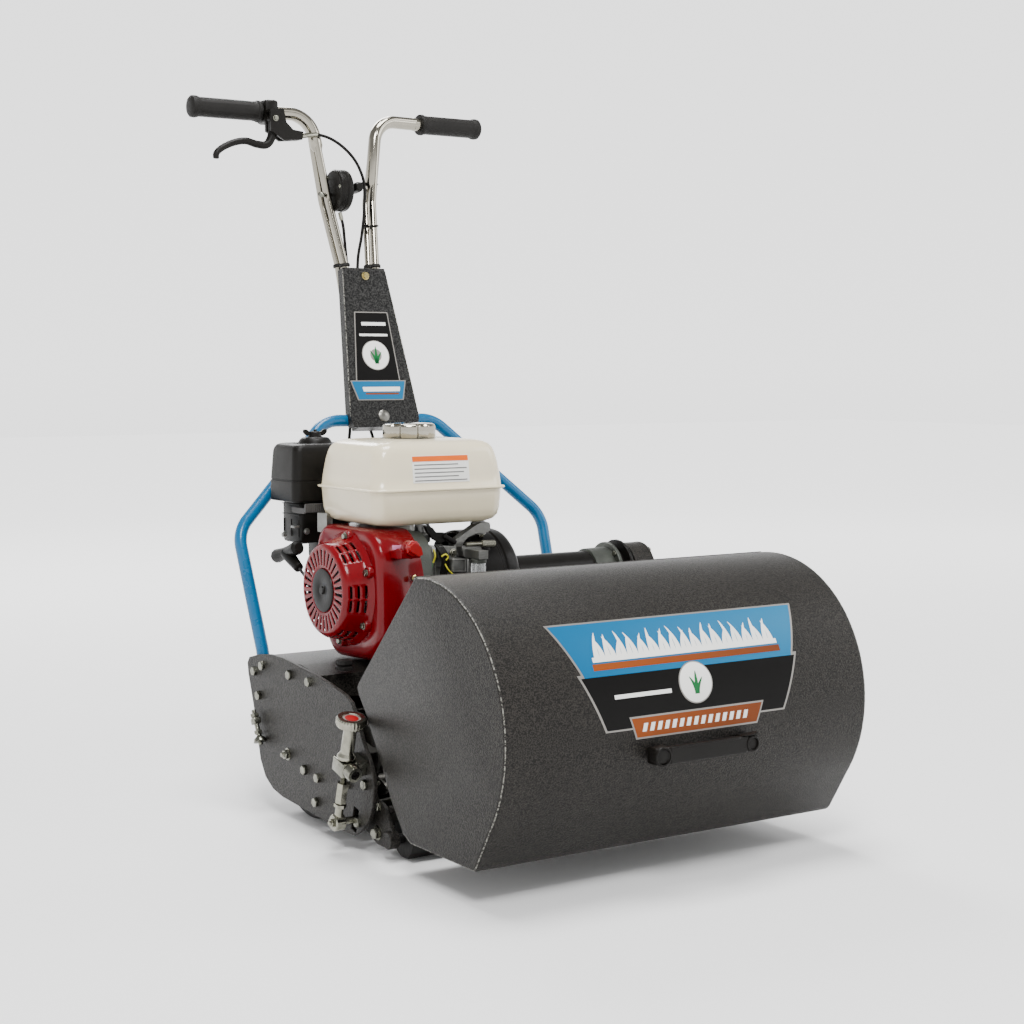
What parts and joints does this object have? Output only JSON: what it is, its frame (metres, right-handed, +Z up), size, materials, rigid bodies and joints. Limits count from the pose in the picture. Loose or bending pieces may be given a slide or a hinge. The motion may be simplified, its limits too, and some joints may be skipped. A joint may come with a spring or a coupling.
{
  "type": "petrol reel mower",
  "caption": "Petrol reel mower with a front grass catcher, rear drive roller, chain drive, screw height adjuster and a two-grip handle on a tapered column.",
  "frame": {"origin": "middle of the mower's width and length, on the ground under it", "axes": "+Z up; -Y towards the grass catcher, the way the mower travels; +X to the operator's left, the chain case side"},
  "size_m": [0.6636, 0.9842, 1.0822],
  "materials": {
    "charcoal_paint": "hammertone",
    "cast_iron": "as cast",
    "roller_paint": "satin",
    "roller_black": "matt",
    "ground_steel": "ground",
    "zinc_steel": "zinc plated",
    "engine_black": "gloss",
    "cast_alloy": "as cast",
    "filter_clear": "gloss",
    "shroud_red": "gloss",
    "tank_cream": "gloss",
    "black_plastic": "matt",
    "knob_red": "gloss",
    "frame_blue": "gloss",
    "rod_chrome": "polished",
    "grip_rubber": "matt"
  },
  "bodies": {
    "mower_frame": {"right_side_plate": "charcoal_paint", "left_side_plate": "charcoal_paint", "engine_deck": "charcoal_paint", "throw_plate": "charcoal_paint", "chain_case": "charcoal_paint", "chain_case_cover": "charcoal_paint", "tube_bearing_plate": "charcoal_paint", "right_catcher_hook": "charcoal_paint", "left_catcher_hook": "charcoal_paint", "handle_column": "charcoal_paint", "blade_carrier": "cast_iron", "right_reel_bearing": "cast_iron", "left_reel_bearing": "cast_iron", "right_roller_bearing": "cast_iron", "left_roller_bearing": "cast_iron", "bottom_blade": "ground_steel", "engine_chain": "ground_steel", "roller_chain": "ground_steel", "adjuster_block": "zinc_steel", "clutch_housing": "engine_black", "drive_tube": "engine_black", "muffler": "engine_black", "crankcase": "cast_alloy", "cylinder_head": "cast_alloy", "carburettor": "cast_alloy", "fuel_filter_bowl": "filter_clear", "fan_shroud": "shroud_red", "recoil_cover": "shroud_red", "fuel_tank": "tank_cream", "air_cleaner_cover": "black_plastic", "air_cleaner_base": "black_plastic", "engine_switch_box": "black_plastic", "lever_bracket": "black_plastic", "throttle_housing": "black_plastic", "clutch_cable": "black_plastic", "throttle_cable": "black_plastic", "handle_frame": "frame_blue", "right_handlebar": "rod_chrome", "left_handlebar": "rod_chrome", "right_grip": "grip_rubber", "left_grip": "grip_rubber"},
    "rear_roller": {"rear_roller": "roller_paint"},
    "drive_shaft": {"drive_shaft": "ground_steel", "clutch_drum": "ground_steel"},
    "cutting_reel": {"cutting_reel": "ground_steel"},
    "crankshaft": {"crankshaft": "ground_steel"},
    "height_knob": {"height_knob": "zinc_steel"},
    "roller_carriage": {"right_roller_bracket": "charcoal_paint", "left_roller_bracket": "charcoal_paint", "roller_bracket_tie": "ground_steel", "adjuster_sleeve": "zinc_steel"},
    "front_roller": {"front_roller": "roller_black"},
    "catcher": {"catcher_shell": "charcoal_paint", "catcher_handle": "black_plastic"},
    "clutch_lever": {"clutch_lever": "black_plastic"},
    "throttle_lever": {"throttle_lever": "black_plastic"},
    "fuel_cap": {"fuel_cap": "zinc_steel"},
    "starter_grip": {"starter_grip": "black_plastic"},
    "choke_lever": {"choke_lever": "zinc_steel"},
    "engine_switch_knob": {"engine_switch_knob": "knob_red"}
  },
  "joints": [
    {"name": "roller_spin", "type": "hinge", "parent": "mower_frame", "child": "rear_roller", "pos_m": [0, 0.1139, 0.098], "axis": [1, 0, 0], "continuous": true},
    {"name": "drive_spin", "type": "hinge", "parent": "mower_frame", "child": "drive_shaft", "pos_m": [0, 0.0779, 0.337], "axis": [1, 0, 0], "continuous": true},
    {"name": "reel_spin", "type": "hinge", "parent": "mower_frame", "child": "cutting_reel", "pos_m": [0, -0.0701, 0.088], "axis": [1, 0, 0], "continuous": true},
    {"name": "crank_spin", "type": "hinge", "parent": "mower_frame", "child": "crankshaft", "pos_m": [0, 0.0779, 0.337], "axis": [1, 0, 0], "continuous": true},
    {"name": "knob_spin", "type": "hinge", "parent": "mower_frame", "child": "height_knob", "pos_m": [-0.311, -0.1294, 0.1946], "axis": [0, 0.2683, -0.9633], "range_deg": [-1820, 1820]},
    {"name": "roller_height", "type": "slide", "parent": "mower_frame", "child": "roller_carriage", "axis": [0, 0.2683, -0.9633], "range_m": [-0.01, 0.01]},
    {"name": "front_roller_spin", "type": "hinge", "parent": "roller_carriage", "child": "front_roller", "pos_m": [0, -0.1541, 0.028], "axis": [1, 0, 0], "continuous": true},
    {"name": "catcher_lift", "type": "slide", "parent": "mower_frame", "child": "catcher", "axis": [0, -0.5, 0.866], "range_m": [0, 0.25]},
    {"name": "clutch_lever_pull", "type": "hinge", "parent": "mower_frame", "child": "clutch_lever", "pos_m": [-0.1375, 0.4464, 1.05], "axis": [0, 1, 0], "range_deg": [0, 24], "stiffness_Nm_per_rad": 1.2, "springref_deg": -11.46},
    {"name": "throttle_turn", "type": "hinge", "parent": "mower_frame", "child": "throttle_lever", "pos_m": [-0.0054, 0.4434, 0.942], "axis": [1, 0, 0], "range_deg": [0, 60]},
    {"name": "fuel_cap_turn", "type": "hinge", "parent": "mower_frame", "child": "fuel_cap", "pos_m": [-0.0915, 0.0959, 0.5484], "axis": [0, 0, 1], "range_deg": [0, 90]},
    {"name": "starter_pull", "type": "slide", "parent": "mower_frame", "child": "starter_grip", "axis": [0, 0.9703, 0.2419], "range_m": [0, 0.45], "stiffness_N_per_m": 10, "springref_m": -0.5},
    {"name": "choke_slide", "type": "slide", "parent": "mower_frame", "child": "choke_lever", "axis": [0, 1, 0], "range_m": [0, 0.02]},
    {"name": "engine_switch_turn", "type": "hinge", "parent": "mower_frame", "child": "engine_switch_knob", "pos_m": [-0.17, -0.0455, 0.404], "axis": [0, 1, 0], "range_deg": [0, 90]}
  ],
  "couplings": [
    {"joint": "drive_spin", "follows": "roller_spin", "ratio": 7.4667},
    {"joint": "reel_spin", "follows": "roller_spin", "ratio": 3.1111},
    {"joint": "knob_spin", "follows": "roller_height", "rad_per_m": 3141.6}
  ]
}
